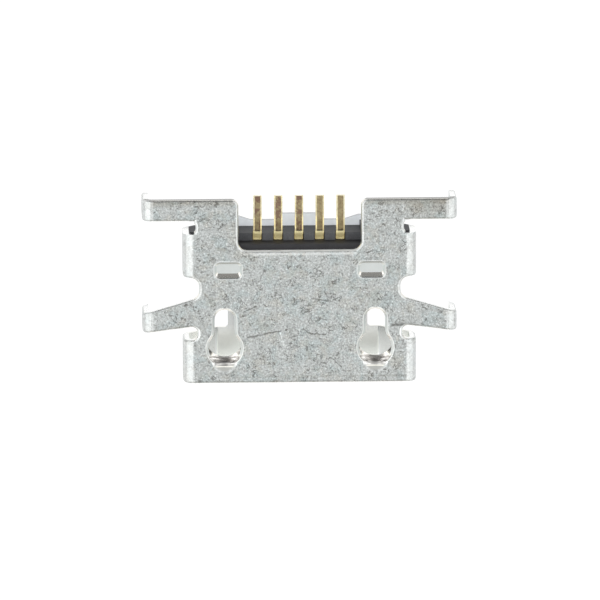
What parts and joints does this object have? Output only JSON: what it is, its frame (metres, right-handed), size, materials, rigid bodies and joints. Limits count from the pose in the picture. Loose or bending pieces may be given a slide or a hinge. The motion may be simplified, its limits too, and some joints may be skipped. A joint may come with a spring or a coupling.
{
  "type": "charging port",
  "caption": "Miniature charging socket for a board cut-out: folded metal shell with keyhole latch windows and bent-down solder arms, black tongue inside, flat solder tails at the back.",
  "frame": {"origin": "below the middle of the whole part, on the outer face of the narrow plate", "axes": "+Z out of the wide plate, +X across the mouth, +Y from the mouth to the solder tails"},
  "size_m": [0.0098, 0.0058, 0.0022],
  "materials": {
    "shell": "matt tin-like plating with a fine mottled grain",
    "housing": "matt black heat-resistant moulding",
    "contacts": "thin gold plating over copper alloy"
  },
  "bodies": {
    "root": {"shell": "shell", "housing": "housing", "contact_1": "contacts", "contact_2": "contacts", "contact_3": "contacts", "contact_4": "contacts", "contact_5": "contacts"}
  },
  "joints": []
}
